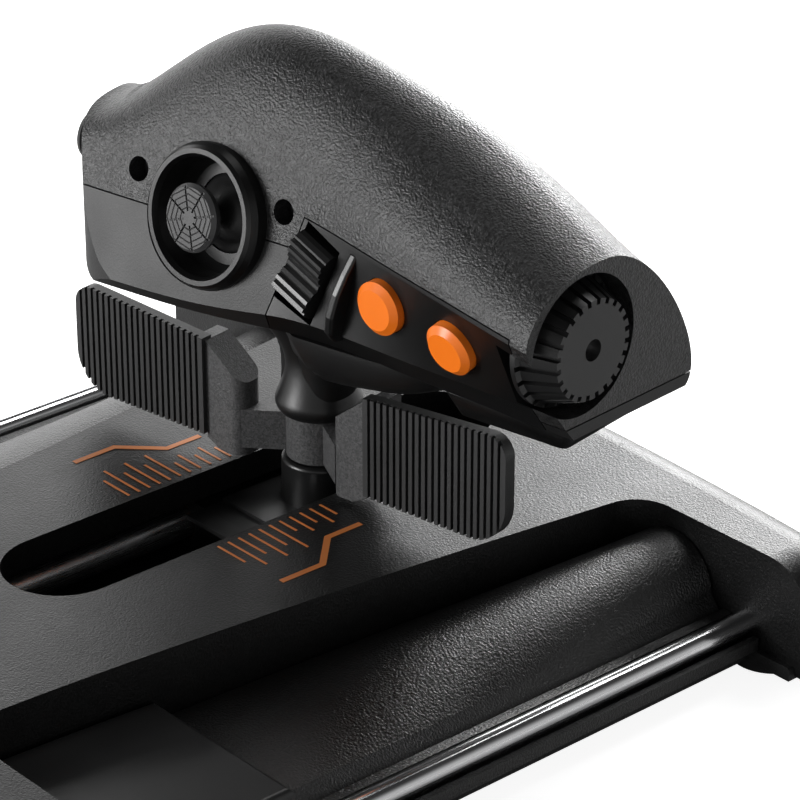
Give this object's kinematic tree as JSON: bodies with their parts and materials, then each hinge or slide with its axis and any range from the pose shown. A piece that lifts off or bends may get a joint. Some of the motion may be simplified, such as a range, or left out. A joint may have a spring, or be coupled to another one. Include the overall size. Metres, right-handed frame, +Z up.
{
  "type": "throttle quadrant",
  "caption": "Desktop throttle unit: a hand grip with stick, keys and knob on a neck that slides along a low base, with a rocking finger paddle.",
  "frame": {"origin": "centre of the base's footprint, on the table under the rubber feet", "axes": "+Y is ahead, the way the throttle is pushed; +Z is up; +X is the right-hand side"},
  "size_m": [0.165, 0.186, 0.0997],
  "materials": {
    "cover_plastic": "fine-textured dark grey",
    "dark_plastic": "satin black",
    "panel_plastic": "satin black",
    "grip_plastic": "soft-touch dark grey",
    "saddle_rubber": "soft black rubber",
    "tray_plastic": "grained black",
    "shelf_plastic": "satin gloss",
    "arm_plastic": "satin dark grey",
    "polished_steel": "polished",
    "bronze": "sintered",
    "brass_metal": "turned",
    "steel_plate": "black powder coat",
    "screw_steel": "blackened",
    "circuit_green": "solder mask",
    "felt_strip": "felt",
    "orange_plastic": "moulded orange"
  },
  "bodies": {
    "base": {"base_top_cover": "cover_plastic", "bottom_plate": "steel_plate", "side_tray_right": "tray_plastic", "side_tray_left": "tray_plastic", "front_shelf_right": "shelf_plastic", "front_shelf_left": "shelf_plastic", "side_rod_right": "polished_steel", "side_rod_left": "polished_steel", "side_rod_clips": "dark_plastic", "guide_rod_right": "polished_steel", "guide_rod_left": "polished_steel", "rod_saddle_rear": "dark_plastic", "rod_saddle_front": "dark_plastic", "main_circuit_board": "circuit_green", "usb_socket": "dark_plastic", "pedal_socket": "dark_plastic", "slide_sensor": "circuit_green", "brake_strip": "felt_strip", "ballast_bars": "steel_plate", "rubber_feet": "saddle_rubber", "threaded_inserts": "brass_metal", "case_screws": "screw_steel"},
    "throttle": {"carriage_block": "dark_plastic", "slide_bushings": "bronze", "slot_cover": "dark_plastic", "neck_flange": "dark_plastic", "neck_tube": "polished_steel", "neck_nut": "dark_plastic", "neck_saddle": "saddle_rubber", "grip_upper_shell": "grip_plastic", "grip_lower_shell": "dark_plastic", "control_panel": "panel_plastic", "grip_screws": "screw_steel", "grip_circuit_board": "circuit_green", "stick_ring": "dark_plastic", "stick_module": "dark_plastic", "rocker_bracket": "dark_plastic", "button_switches": "dark_plastic", "knob_sensor": "dark_plastic", "thumb_plate": "dark_plastic", "hat_bases": "dark_plastic"},
    "paddle": {"paddle_carrier": "arm_plastic", "paddle_pad_right": "saddle_rubber", "paddle_pad_left": "saddle_rubber"},
    "stick_frame": {"stick_gimbal": "polished_steel"},
    "mini_stick": {"mini_stick": "dark_plastic", "stick_cap": "saddle_rubber"},
    "rocker_key": {"rocker_key": "panel_plastic"},
    "front_button_inner": {"front_button_inner": "orange_plastic"},
    "front_button_outer": {"front_button_outer": "orange_plastic"},
    "thumb_button": {"thumb_button": "orange_plastic"},
    "antenna_knob": {"antenna_knob": "dark_plastic", "knob_shaft": "polished_steel"},
    "tension_screw": {"tension_screw": "dark_plastic"},
    "hat_upper_frame": {"hat_upper_cross": "polished_steel"},
    "hat_upper": {"hat_upper": "dark_plastic"},
    "hat_lower_frame": {"hat_lower_cross": "polished_steel"},
    "hat_lower": {"hat_lower": "dark_plastic"}
  },
  "joints": [
    {"name": "throttle_slide", "type": "slide", "parent": "base", "child": "throttle", "axis": [0, 1, 0], "range_m": [-0.0259, 0.0541]},
    {"name": "paddle_swing", "type": "hinge", "parent": "throttle", "child": "paddle", "pos_m": [0, -0.0408, 0.0284], "axis": [0, 0, 1], "range_deg": [-12, 12], "stiffness_Nm_per_rad": 0.4},
    {"name": "stick_tilt_side", "type": "hinge", "parent": "throttle", "child": "stick_frame", "pos_m": [0.00587, -0.03121, 0.06972], "axis": [0.9855, 0.1204, -0.1192], "range_deg": [-14, 14], "stiffness_Nm_per_rad": 0.02},
    {"name": "stick_tilt_ahead", "type": "hinge", "parent": "stick_frame", "child": "mini_stick", "pos_m": [0.00587, -0.03121, 0.06972], "axis": [-0.1411, 0.1937, -0.9709], "range_deg": [-14, 14], "stiffness_Nm_per_rad": 0.02},
    {"name": "rocker_swing", "type": "hinge", "parent": "throttle", "child": "rocker_key", "pos_m": [-0.01606, -0.03001, 0.06696], "axis": [0.9369, 0.0364, 0.3476], "range_deg": [-8, 8], "stiffness_Nm_per_rad": 0.02},
    {"name": "front_button_inner_press", "type": "slide", "parent": "throttle", "child": "front_button_inner", "axis": [0.0563, -0.9965, 0.0625], "range_m": [0, 0.0008], "stiffness_N_per_m": 800},
    {"name": "front_button_outer_press", "type": "slide", "parent": "throttle", "child": "front_button_outer", "axis": [0.054, -0.9631, 0.2637], "range_m": [0, 0.0008], "stiffness_N_per_m": 800},
    {"name": "thumb_button_press", "type": "slide", "parent": "throttle", "child": "thumb_button", "axis": [-0.9763, -0.2164, 0], "range_m": [0, 0.0008], "stiffness_N_per_m": 800},
    {"name": "antenna_knob_turn", "type": "hinge", "parent": "throttle", "child": "antenna_knob", "pos_m": [-0.05777, -0.03744, 0.0684], "axis": [-0.9969, -0.0785, 0], "range_deg": [-135, 135]},
    {"name": "hat_upper_tilt_side", "type": "hinge", "parent": "throttle", "child": "hat_upper_frame", "pos_m": [0.03158, -0.02847, 0.0738], "axis": [0, 0, -1], "range_deg": [-8, 8], "stiffness_Nm_per_rad": 0.01},
    {"name": "hat_upper_tilt_ahead", "type": "hinge", "parent": "hat_upper_frame", "child": "hat_upper", "pos_m": [0.03158, -0.02847, 0.0738], "axis": [-0.2164, 0.9763, 0], "range_deg": [-8, 8], "stiffness_Nm_per_rad": 0.01},
    {"name": "hat_lower_tilt_side", "type": "hinge", "parent": "throttle", "child": "hat_lower_frame", "pos_m": [0.03366, -0.03784, 0.0674], "axis": [0, 0, -1], "range_deg": [-8, 8], "stiffness_Nm_per_rad": 0.01},
    {"name": "hat_lower_tilt_ahead", "type": "hinge", "parent": "hat_lower_frame", "child": "hat_lower", "pos_m": [0.03366, -0.03784, 0.0674], "axis": [-0.2164, 0.9763, 0], "range_deg": [-8, 8], "stiffness_Nm_per_rad": 0.01},
    {"name": "tension_screw_turn", "type": "hinge", "parent": "base", "child": "tension_screw", "pos_m": [0, -0.02, 0.002], "axis": [0, 0, 1], "range_deg": [-180, 180]}
  ]
}
